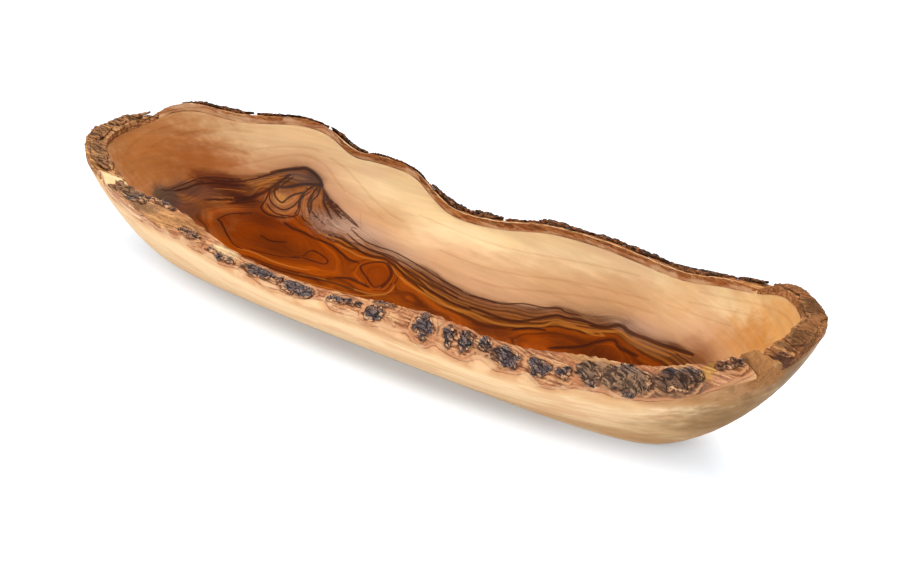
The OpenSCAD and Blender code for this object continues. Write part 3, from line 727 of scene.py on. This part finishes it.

# Stains: the warm left end, smoky tips, the knot, the amber far end, and a grey haze by the knot that is
# painted sheen (a painted highlight)
for point, reach, edge, colour, strength in [
        ((130, 150), (44, 44, 34), 0.95, (150, 90, 46), 0.8),
        ((390, 219), (26, 12, 14), 0.95, (214, 160, 108), 0.7),
        ((170, 140), (88, 64, 50), 0.95, (190, 126, 70), 0.8),
        ((150, 165), (66, 50, 40), 0.95, (172, 104, 50), 0.8),
        ((200, 162), (40, 26, 18), 0.95, (156, 84, 28), 0.8),
        ((165, 197), (13, 10, 9), 0.6, (90, 72, 58), 0.85),
        ((188, 188), (20, 8, 5), 0.6, (102, 72, 62), 0.7),
        ((216, 179), (26, 10, 5), 0.5, (110, 50, 20), 0.8),
        ((217, 236), (12, 8, 8), 0.9, (150, 74, 14), 0.5),
        ((262, 219), (22, 9, 7), 0.9, (94, 34, 3), 0.7),
        ((300, 136), (46, 18, 15), 0.95, (242, 202, 150), 0.85),
        ((684, 301), (32, 16, 20), 0.95, (226, 174, 120), 0.7),
        ((226, 188), (30, 12, 7), 0.8, (80, 28, 8), 0.85),
        ((244, 200), (22, 10, 5), 0.8, (84, 32, 10), 0.7),
        ((278, 249), (32, 12, 8), 0.9, (102, 42, 4), 0.75),
        ((204, 193), (18, 10, 5), 0.7, (112, 64, 48), 0.6),
        ((182, 208), (18, 10, 6), 0.7, (108, 64, 54), 0.6),
        ((284, 203), (16, 12, 10), 0.7, (190, 124, 78), 0.6),
        ((281, 199), (7, 5, 4), 0.8, (214, 150, 84), 0.6),
        ((308, 199), (12, 10, 10), 0.8, (190, 118, 72), 0.6),
        ((300, 178), (15, 4, 4.5), 0.7, (96, 76, 68), 0.55),
        ((316, 178), (9, 4, 5), 0.7, (66, 54, 52), 0.55),
        # The next three are painted sheen: a pale grey-pink highlight on the wall by the knot and along
        # the bundle
        ((328, 222), (17, 12, 8), 0.8, (146, 108, 88), 0.8),
        ((360, 231), (26, 10, 9), 0.9, (204, 164, 136), 0.85),
        ((400, 252), (26, 8, 7), 0.9, (188, 148, 120), 0.7),
        ((622, 322), (26, 6, 6), 0.9, (134, 104, 88), 0.6),
        ((645, 329), (26, 9, 8), 0.9, (196, 154, 126), 0.7),
        ((648, 342), (26, 8, 6), 0.9, (156, 108, 74), 0.6),
        ((704, 353), (26, 12, 9), 0.9, (148, 88, 42), 0.7),
        ((600, 310), (30, 5, 5), 0.9, (160, 116, 84), 0.6),
        ((590, 352), (44, 12, 8), 0.9, (88, 36, 6), 0.75),
        ((492, 330), (26, 8, 6), 0.9, (98, 40, 7), 0.75),
        ((480, 272), (60, 18, 12), 0.9, (206, 158, 116), 0.7),
        ((560, 286), (70, 18, 12), 0.9, (200, 152, 106), 0.7),
        ((630, 296), (50, 18, 12), 0.9, (210, 158, 108), 0.7),
        ((785, 335), (64, 60, 40), 0.95, (224, 158, 84), 0.85),
        ((735, 345), (30, 30, 14), 0.95, (204, 136, 72), 0.7),
        ((758, 342), (30, 26, 14), 0.95, (206, 136, 66), 0.8)]:
    mask = stained(place, seen_on(hollow_tree, *point), reach, edge)
    mask = product(product(mask, strength), hollow_mask)
    wood_colour = blend(mask, wood_colour, lit(colour, light))

# Veins, then fine pale scratches in a painted sheen under the knot: their pale lines are painted glints
# in a painted highlight.
# The side of a vein changes sign right on its middle line, which keeps it fine and unbroken between the
# mesh's vertices
unsteady = swayed(fine_streaks, 1.3)


def from_vein(*names):
    """How far the surface lies from the nearest of these veins, in half widths"""
    nearest = far_off
    for name in names:
        on_line = sums("ABSOLUTE", attribute(name + "_side"))
        nearest = sums("MINIMUM", nearest, sums("MAXIMUM", on_line, attribute(name)))
    return sums("ADD", nearest, unsteady)


faint_mask = product(remap(from_vein("faint_vein"), 2.2, 0.4, 0.0, 0.5), hollow_mask)
wood_colour = blend(faint_mask, wood_colour, lit(wood_colour, (0.82, 0.74, 0.66, 1)))
light_mask = remap(from_vein("light_vein"), 1.8, 0.3, 0.0, 0.55)
wood_colour = blend(light_mask, wood_colour, (190, 116, 44))
dark_mask = remap(from_vein("dark_vein_0", "dark_vein_1", "dark_vein_2"), 1.8, 0.5, 0.0, 0.85)
by_knot = stained(place, seen_on(hollow_tree, 306, 186), (22, 14, 14), 0.7)
vein_colour = blend(by_knot, (62, 24, 10), (50, 36, 34))
wood_colour = blend(dark_mask, wood_colour, vein_colour)
# Painted highlight: pale glinting scratches in the painted sheen by the knot
turned = step("Mapping", {"Vector": place, "Rotation": (0.3, 0.5, 0.9), "Scale": (0.25, 2.6, 2.6)})
glinting_scratches = clouds(turned.outputs[0], detail=3.0, roughness=0.7)
painted_sheen_patch = stained(place, seen_on(hollow_tree, 330, 224), (20, 12, 9), 0.6)
sheen_scratch_mask = product(remap(glinting_scratches, 0.56, 0.68, 0.0, 0.55), painted_sheen_patch)
wood_colour = blend(sheen_scratch_mask, wood_colour, (206, 184, 176))


# Outside: cream sapwood, with the brown lines of the last rings close under the bark
def cream_colours(place):
    cream = ramp(grain_noise(place, (70, 9, 3.2), detail=6, roughness=0.62), [
        (0.3, (222, 182, 134)), (0.45, (238, 202, 156)), (0.55, (244, 212, 168)),
        (0.7, (232, 192, 146))])
    spots = grain_noise(place, (30, 14, 9), detail=3)
    return blend(remap(spots, 0.5, 0.66, 0.0, 0.6), cream, (226, 176, 130))


def last_rings(place, wood, bark):
    """Wood on one side of the last ring, bark on the other, and fine brown lines between"""
    wavy = grain_noise(place, (7, 5, 5), detail=3)
    past = swayed(wavy, 2.6, attribute("past_ring"))
    tints = ramp(remap(past, -6, 4, smooth=False), [
        (0.0, (230, 186, 138)), (0.3, (220, 172, 126)), (0.52, (206, 152, 108)),
        (0.57, (142, 92, 64)), (0.62, (192, 136, 98)), (0.76, (182, 124, 88)),
        (0.8, (124, 78, 56)), (0.85, (184, 126, 88)), (1.0, (178, 118, 82))])
    patchy = remap(grain_noise(place, (11, 6, 6), detail=3), 0.4, 0.58, 0.55, 1.0)
    colour = blend(product(remap(past, -7.5, -3), patchy), wood, tints)
    torn_edge = sums("MULTIPLY_ADD", patchy, 2.0, past)
    return blend(remap(torn_edge, 2.6, 3.8), colour, bark)


cream = cream_colours(place)
to_plate = sums("MULTIPLY_ADD", sums("MINIMUM", attribute("plate_near"), 8.0), 0.5, -1.4)
under_bark = sums("MULTIPLY_ADD", attribute("bark_near"), 0.6, to_plate)
wavy = grain_noise(place, (9, 7, 7), detail=3)
under_bark = sums("ADD", under_bark, swayed(wavy, 5.0))
bark_rings = ramp(remap(under_bark, -2, 9, smooth=False), [
    (0.0, (150, 92, 60)), (0.2, (190, 128, 92)), (0.34, (200, 142, 104)),
    (0.4, (112, 62, 42)), (0.45, (206, 150, 112)), (0.53, (212, 160, 120)),
    (0.58, (140, 88, 60)), (0.63, (226, 182, 138)), (0.9, (240, 206, 162))])
outer_colour = blend(remap(under_bark, 7, 2), cream, bark_rings)
near_side = remap(attribute("past_ring"), -7.9, -6.5)
outer_colour = blend(near_side, outer_colour, last_rings(place, cream, bark_rings))
outer_light = remap(grain_noise(place, (40, 8, 4), detail=5), 0.3, 0.7, 0.86, 1.1, smooth=False)
# Patches on the outside. The first five and the last darken the far end's outer wall: partly its own
# olive-tan stain, partly painted shade where that wall turns from the light
for point, reach, colour, strength in [
        ((640, 438), (60, 30, 14), (192, 150, 104), 0.8),
        ((690, 430), (50, 34, 24), (184, 144, 98), 0.8),
        ((728, 419), (46, 36, 30), (146, 110, 70), 0.95),
        ((752, 404), (40, 40, 36), (150, 114, 74), 0.95),
        ((790, 372), (26, 30, 34), (132, 98, 62), 0.9),
        ((560, 418), (90, 40, 9), (206, 162, 114), 0.6),
        ((655, 404), (34, 16, 6), (194, 144, 98), 0.8),
        ((700, 401), (34, 20, 9), (180, 130, 82), 0.85),
        ((320, 310), (40, 16, 8), (214, 164, 118), 0.8),
        ((607, 402), (36, 14, 7), (216, 168, 118), 0.8),
        ((385, 335), (40, 16, 7), (204, 152, 110), 0.7),
        ((740, 388), (30, 20, 20), (172, 124, 80), 0.85)]:
    mask = product(stained(place, seen_on(hollow_tree, *point), reach, 0.95), strength)
    outer_colour = blend(mask, outer_colour, lit(colour, outer_light))
upright = grain_noise(place, (5, 5, 34), detail=4)
mask = product(stained(place, seen_on(hollow_tree, 762, 388), (34, 34, 40), 0.9),
            remap(upright, 0.5, 0.62, 0.0, 0.6))
outer_colour = blend(mask, outer_colour, (126, 92, 58))
wood_colour = blend(hollow_mask, outer_colour, wood_colour)
swirls = clouds(place, 0.22, distortion=3.0)
# The two scars, of bare swirled wood
for point, reach, colour in (((757, 364), (15, 13, 13), (160, 110, 66)),
                             ((110, 178.5), (9, 7, 6), (228, 178, 122))):
    scarred = stained(place, seen_on(hollow_tree, *point), reach, 0.35)
    swirl_light = remap(swirls, 0.36, 0.64, 0.76, 1.16, smooth=False)
    wood_colour = blend(scarred, wood_colour, lit(colour, swirl_light))
pores = grain_noise(place, (6, 0.5, 0.5), detail=4)
coat(wood_colour, remap(fine_streaks, 0.3, 0.7, 0.42, 0.54), pores, strength=0.15, height=0.3)
bowl.data.materials.append(oiled_wood)
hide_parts("carved_bowl")
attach(bowl, "root")

# The inner bark: the brown, fibrous layer between wood and bark, cut through by the carving, so
# it shows as a ragged band all round the rim. Its fibres run with the rim.
rim_start = 346
turn = (turn_degrees(rim_places) - rim_start) % 360
order = np.argsort(turn)
# The rim's corners lie by turns on its inner and its outer edge, so that half their steps count
steps_along = np.linalg.norm(np.diff(rim_places[order][:, :2], axis=0), axis=1) * 0.5
along_table = np.r_[0, np.cumsum(steps_along)]


def along_rim(places):
    """Roughly the distance in mm along the rim from its bare scar, for each place"""
    return np.interp((turn_degrees(places) - rim_start) % 360, turn[order], along_table)


bark_angle, bark_levels = 60, 3


def bark_copy(node, name):
    """A finer copy of a bark node, with each place's distance in mm from its outline"""
    piece = carved_copy(node, name)
    quads_with_crisp_edges(piece, bark_angle)
    places = places_of(piece)
    outline = [places[list(edge.vertices)] for edge in piece.data.edges if edge.select]
    smooth_finer(piece, bark_levels)
    outline = [a + (b - a) * share for a, b in outline for share in (0, 0.2, 0.4, 0.6, 0.8)]
    keep_on_surface(piece, "from_rim", point_distances(places_of(piece), outline))
    return piece


# Without a seed noise_vector starts from the clock, and the bark would change with each run
noise.seed_set(5)


def rough_height(along, across, up, sizes, seed):
    point = Vector((along / sizes[0] + seed, across / sizes[1], up / sizes[1]))
    return noise.fractal(point, 1.0, 2.0, 4, noise_basis="PERLIN_ORIGINAL")


def roughen(piece, relief, ragged, sizes, seed, cracked=False, calm=1.0):
    """Moves the surface in and out by its relief in mm, and to and fro by its raggedness. Sizes are
    those of its bumps along and across the rim, and calm lowers the relief here and there"""
    places, normals = places_of(piece), normals_of(piece)
    along = along_rim(places)
    lift = np.array([rough_height(a, p[1] + p[0] * 0.3, p[2], sizes, seed)
                     for a, p in zip(along, places)])
    if cracked:
        apart = np.array([noise.noise(Vector((a / 6 + seed, (p[1] + p[0] * 0.3) / 2.6, p[2] / 2.6)),
                                      noise_basis="VORONOI_F2F1") for a, p in zip(along, places)])
        lift = 0.55 * lift - np.clip(1 - (apart + 1) / 0.44, 0, 1)
    sway = np.array([noise.noise_vector(Vector(p) / 4.5 + Vector((seed, 0, 0))) for p in places])
    sway[:, 2] *= 0.3
    top = np.clip(normals[:, 2] * 0.8 + 0.45, 0.15, 1)
    moved = places + normals * (lift * relief * top * calm)[:, None] + sway * ragged
    piece.data.vertices.foreach_set("co", (moved * mm).ravel())
    piece.data.update()
    keep_on_surface(piece, "along", along)
    keep_on_surface(piece, "lift", lift)
    keep_on_surface(piece, "plate_near", surface_distances(places, outer_bark_tree))
    activate(piece)
    bpy.ops.object.shade_smooth()


def along_place(place, squeeze):
    """Place in mm with the run along the rim squeezed, so that what lies on it is drawn out"""
    x, y, z = step("SeparateXYZ", {0: place}).outputs
    return joined(product(attribute("along"), squeeze), y, z)


def fibrous_colours(place, squeeze, tones, rust):
    """The colours of torn fibres along the rim, and the noise that they follow"""
    fibres = clouds(along_place(place, squeeze), 0.7, 6.0, 0.6, 0.4)
    broad = grain_noise(place, (9, 6, 6), detail=3)
    spread = [0.28, 0.4, 0.48, 0.56, 0.64, 0.74]
    colour = ramp(fibres, list(zip(spread, tones)))
    return blend(remap(broad, 0.46, 0.62, 0.0, 0.6), colour, rust), fibres


# Patches on the near side's bark: picture point, reach in mm, colour and strength
front_patches = [((x, y), (11, 4, 4), (204, 152, 96), 0.65) for x, y in (
    (562, 352), (580, 356), (600, 359), (620, 362), (640, 364), (660, 366), (680, 366))]
front_patches += [((x, y), (11, 8, 8), (150, 116, 90), 0.85) for x, y in (
    (594, 371), (607, 375), (620, 379), (633, 382), (646, 385))]
front_patches += [((x, y), (11, 8, 8), (122, 90, 70), 0.85) for x, y in (
    (659, 385), (672, 387), (685, 386), (694, 384))]
front_patches += [
    ((487, 355), (9, 6, 6), (110, 82, 68), 0.9), ((187, 224), (18, 7, 7), (160, 108, 62), 0.7),
    ((113, 187), (14, 7, 7), (140, 108, 80), 0.7), ((142, 215), (18, 6, 6), (168, 122, 82), 0.7),
    ((742, 371), (9, 6, 6), (158, 98, 54), 0.8), ((720, 361), (16, 6, 6), (128, 76, 36), 0.8),
    ((709, 372), (5, 6, 6), (206, 154, 76), 0.7), ((726, 365), (8, 5, 5), (146, 100, 72), 0.7),
    ((724, 380), (9, 3, 3), (208, 148, 112), 0.6),
    ((225, 252), (11, 5, 5), (238, 204, 154), 0.9), ((166, 218), (20, 7, 7), (200, 146, 92), 0.7),
    ((120, 188), (16, 7, 7), (160, 116, 78), 0.75), ((146, 206), (14, 5, 5), (124, 96, 68), 0.6)]
right_patches = [((783, 360), (8, 7, 7), (88, 58, 50), 0.85),
                 ((816, 306), (10, 12, 14), (100, 70, 48), 0.7),
                 ((804, 340), (12, 9, 10), (98, 64, 42), 0.6)]


def patched(place, colour, rough, patches):
    """The colour with soft patches of other tones, lit by the roughness"""
    light = remap(rough, 0.3, 0.7, 0.5, 1.35, smooth=False)
    for point, reach, tone, strength in patches:
        mask = stained(place, seen_on(whole_tree, *point), reach, 0.6)
        colour = blend(product(mask, strength), colour, lit(tone, light))
    return colour


def fibrous_finish(name, tones, rust, dark, squeeze=0.05, halo=0.0, patches=(), crack_and_hollow_shade_strength=0.8,
                   ringed=False):
    """Inner bark in its tones, with rusty patches, dark crack lines, a halo round each plate, painted
    shade in the low places of its relief, and the last rings where it meets the wood"""
    material = new_finish(name)
    place = object_mm()
    colour, fibres = fibrous_colours(place, squeeze, tones, rust)
    colour = patched(place, colour, fibres, patches)
    long = clouds(along_place(place, squeeze * 0.5), 0.4, 5.0, 0.6, 0.8)
    from_crack = sums("ABSOLUTE", sums("SUBTRACT", long, 0.5))
    colour = blend(remap(from_crack, 0.026, 0.006, 0.0, crack_and_hollow_shade_strength), colour, dark)
    # Round each plate the last layers show: a pale ring, then a thin dark line
    near = swayed(fibres, 4.0, attribute("plate_near"))
    patchy = product(remap(grain_noise(place, (14, 9, 9)), 0.42, 0.6), halo)
    ring = remap(sums("ABSOLUTE", sums("SUBTRACT", near, 1.5)), 0.9, 0.3)
    colour = blend(product(ring, patchy), colour, tones[3])
    ring = remap(sums("ABSOLUTE", sums("SUBTRACT", near, 2.6)), 0.36, 0.1)
    colour = blend(product(ring, patchy), colour, dark)
    colour = blend(remap(near, 0.7, 0.1, 0.0, 0.6), colour, dark)
    # Painted shade: the low places of the relief are darkened
    colour = blend(remap(attribute("lift"), -0.35, -0.8, 0.0, crack_and_hollow_shade_strength), colour, dark)
    if ringed:
        cream = cream_colours(place)
        # Towards the far end the cream is darker: partly its own tan, partly painted shade where the wall
        # turns from the light
        for point, reach in (((738, 388), (50, 26, 26)), ((680, 402), (40, 20, 12))):
            far_end_tint_and_shade = product(stained(place, seen_on(whole_tree, *point), reach), 0.85)
            cream = blend(far_end_tint_and_shade, cream, (184, 132, 86))
        colour = last_rings(place, cream, colour)
    coat(colour, 0.75, fibres, strength=0.5, height=0.5)
    return material


mottled_fibres = [
    (64, 44, 30), (120, 84, 54), (168, 116, 74), (206, 148, 98), (218, 166, 114), (146, 98, 50)]
brown_fibres = [
    (86, 54, 34), (138, 90, 54), (166, 110, 68), (186, 126, 78), (206, 148, 98), (146, 92, 54)]
band_finish = {
    "front": fibrous_finish(
        "tan inner bark",
        [(78, 46, 34), (148, 94, 64), (186, 128, 88), (206, 150, 106), (226, 178, 130), (164, 102, 66)],
        rust=(168, 102, 68), dark=(84, 52, 40), squeeze=0.035, halo=0.7, patches=front_patches,
        crack_and_hollow_shade_strength=0.5, ringed=True),
    "back": fibrous_finish(
        "reddish inner bark",
        [(84, 48, 30), (134, 80, 44), (170, 108, 60), (188, 126, 74), (210, 152, 96), (152, 90, 50)],
        rust=(162, 96, 52), dark=(70, 46, 34), ringed=True),
    "left_end": fibrous_finish(
        "mottled inner bark", mottled_fibres, rust=(166, 110, 54), dark=(60, 46, 36)),
    "right_end": fibrous_finish(
        "brown inner bark", brown_fibres, rust=(160, 100, 58), dark=(84, 56, 38), squeeze=0.5,
        patches=right_patches)}
for number, node in enumerate(inner_bark_nodes):
    piece = bark_copy(node, node.replace("inner_bark", "bark_band"))
    calm = 1.0
    line = last_ring if "front" in node else far_ring if "back" in node else None
    if line:
        past_ring = vein_sides(whole_tree, [(1.0, line)], places_of(piece), normals_of(piece))
        keep_on_surface(piece, "past_ring", past_ring)
        calm = np.clip(past_ring / 3, 0.1, 1)
    relief = 0.4 if "back" in node else 0.7
    roughen(piece, relief, 0.5, (18, 1.6), seed=10 * number, calm=calm)
    piece.data.materials.append(band_finish[node.removeprefix("inner_bark_")])
    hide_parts(node)
    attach(piece, "root")


# The outer bark: dark, cracked plates that are left on the inner bark here and there. Each is
# its own piece, blunt where it was scraped and craggy where it broke.
def cracked_finish(name, tones, rust, crack_and_hollow_shade, squeeze, torn, worn, patches=()):
    """Cracked bark in its tones, with torn fibres showing as far as worn mm in from its outline"""
    material = new_finish(name)
    place = object_mm()
    lie = along_place(place, squeeze)
    crags = step("TexVoronoi", {"Vector": lie, "Scale": 0.42, "Randomness": 1.0},
                 feature="DISTANCE_TO_EDGE").outputs["Distance"]
    crumbs = clouds(lie, 0.62, 8.0, 0.72, 0.6)
    colour = ramp(crumbs, list(zip([0.28, 0.42, 0.5, 0.57, 0.64, 0.72], tones)))
    rusty = grain_noise(place, (8, 4, 4), detail=3)
    colour = blend(remap(rusty, 0.5, 0.64, 0.0, 0.75), colour, rust)
    colour = blend(remap(crags, 0.0, 0.06, 0.5, 0.0), colour, crack_and_hollow_shade)
    colour = patched(place, colour, crumbs, patches)
    fibrous, fibres = fibrous_colours(place, 0.12, torn, rust)
    flecks = grain_noise(place, (1.8, 0.8, 0.8), detail=2)
    colour = blend(remap(flecks, 0.64, 0.7, 0.0, 0.6), colour, torn[4])
    inward = sums("MULTIPLY_ADD", sums("SUBTRACT", 0.5, fibres), 7.0, attribute("from_rim"))
    inward = sums("MULTIPLY_ADD", sums("SUBTRACT", 0.45, rusty), 8.0, inward)
    colour = blend(remap(inward, worn + 0.35, worn - 0.35), colour, fibrous)
    # Painted shade: the low places of the relief take the dark crack colour
    colour = blend(remap(attribute("lift"), -0.15, -0.6, 0.0, 0.72), colour, crack_and_hollow_shade)
    craggy = sums("ADD", crumbs, remap(crags, 0.0, 0.2, 0.0, 0.35))
    coat(colour, 0.82, craggy, strength=0.9, height=0.7)
    return material


plate_finish = {
    "front": cracked_finish(
        "dark cracked bark",
        [(48, 38, 40), (80, 68, 70), (108, 94, 94), (138, 118, 112), (188, 152, 120), (226, 192, 148)],
        rust=(122, 88, 76), crack_and_hollow_shade=(32, 24, 24), squeeze=0.4, worn=0.5, patches=front_patches,
        torn=[(76, 46, 36), (150, 98, 70), (194, 138, 98), (214, 160, 118), (230, 184, 138),
              (166, 106, 72)]),
    "back": cracked_finish(
        "dark edge bark",
        [(36, 28, 22), (66, 50, 40), (94, 70, 54), (120, 88, 68), (142, 104, 78), (112, 72, 50)],
        rust=(116, 72, 50), crack_and_hollow_shade=(28, 20, 16), squeeze=0.15, worn=0.5,
        torn=[(70, 42, 28), (112, 68, 42), (146, 92, 58), (170, 112, 72), (190, 132, 88),
              (130, 78, 48)]),
    "left": cracked_finish(
        "mottled bark",
        [(50, 38, 30), (112, 82, 60), (156, 110, 74), (186, 132, 86), (210, 158, 94), (200, 148, 64)],
        rust=(196, 134, 96), crack_and_hollow_shade=(36, 26, 22), squeeze=0.8, worn=0.5, torn=mottled_fibres),
    "right": cracked_finish(
        "ridged brown bark",
        [(92, 60, 38), (142, 92, 56), (166, 110, 68), (186, 126, 80), (208, 152, 102), (152, 116, 76)],
        rust=(142, 106, 70), crack_and_hollow_shade=(78, 52, 34), squeeze=1.2, worn=0.3, patches=right_patches,
        torn=brown_fibres)}
plate_ragged = {"front": 1.7, "back": 0.8, "left": 1.0, "right": 0.7}
for number, node in enumerate(outer_bark_nodes):
    side = node.split("_")[2]
    piece = bark_copy(node, node.replace("outer_bark", "bark_plate"))
    roughen(piece, 0.9, plate_ragged[side], (3.2, 1.5), seed=10 * number + 5,
            cracked=side != "right")
    piece.data.materials.append(plate_finish[side])
    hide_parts(node)
    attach(piece, "root")

# The stand: a plain white floor, broad light from above and behind, and a soft lamp in front
stand_size = 6.0
bpy.ops.object.select_all(action="DESELECT")
bpy.ops.mesh.primitive_plane_add(size=stand_size)
floor = bpy.context.active_object
floor.name = "floor"
white_floor = new_finish("white floor")
feed(surface.inputs, {"Base Color": (0.86, 0.88, 0.9, 1), "Roughness": 1, "Specular IOR Level": 0})
# To the camera it is pale grey, with a white glow that fades out round the bowl: a painted shadow,
# darkest nearest the bowl, laid over the shadow that the light casts
painted_shadow_shift, painted_shadow_reach = (0.012, 0, 0), (0.188, 0.038, 1)
from_bowl = step("TexCoord").outputs["Object"]
for value, operation in ((painted_shadow_shift, "ADD"), (painted_shadow_reach, "DIVIDE")):
    from_bowl = step("VectorMath", {0: from_bowl, 1: value}, operation=operation).outputs[0]
from_bowl = step("VectorMath", {0: from_bowl}, operation="LENGTH").outputs["Value"]
grey = step("BsdfDiffuse", {"Color": (0.56, 0.63, 0.72, 1)})
glow_beyond_painted_shadow = remap(from_bowl, 0.62, 1.15, 0.1, 0.7)
glow = step("Emission", {"Color": (0.94, 0.97, 1, 1), "Strength": glow_beyond_painted_shadow})
both = step("AddShader", {0: grey.outputs[0], 1: glow.outputs[0]})
to_camera = step("LightPath").outputs["Is Camera Ray"]
plain = step("MixShader", {0: to_camera, 1: surface.outputs[0], 2: both.outputs[0]})
tree.links.new(plain.outputs[0], tree.nodes["Material Output"].inputs["Surface"])
floor.data.materials.append(white_floor)

world = bpy.data.worlds.new("soft room")
bpy.context.scene.world = world
world.use_nodes = True
sky = world.node_tree.nodes["Background"]
sky.inputs["Color"].default_value = (1, 1, 1, 1)
sky.inputs["Strength"].default_value = 0.5


def lamp(name, kind, place, aim, power, **shape):
    data = bpy.data.lights.new(name, kind)
    data.energy = power
    for key, value in shape.items():
        setattr(data, key, value)
    made = bpy.data.objects.new(name, data)
    bpy.context.scene.collection.objects.link(made)
    made.location = place
    made.rotation_euler = (Vector(aim) - Vector(place)).to_track_quat("-Z", "Y").to_euler()


lamp("broad_light", "SUN", (0.2, 0.55, 1.8), (0, 0, 0), 2.15, angle=math.radians(36))
lamp("front_lamp", "AREA", (-0.1, -1.4, 0.8), (0, 0, 0.03), 13, shape="RECTANGLE", size=1.2, size_y=0.7)
bpy.context.scene.view_settings.view_transform = "Standard"
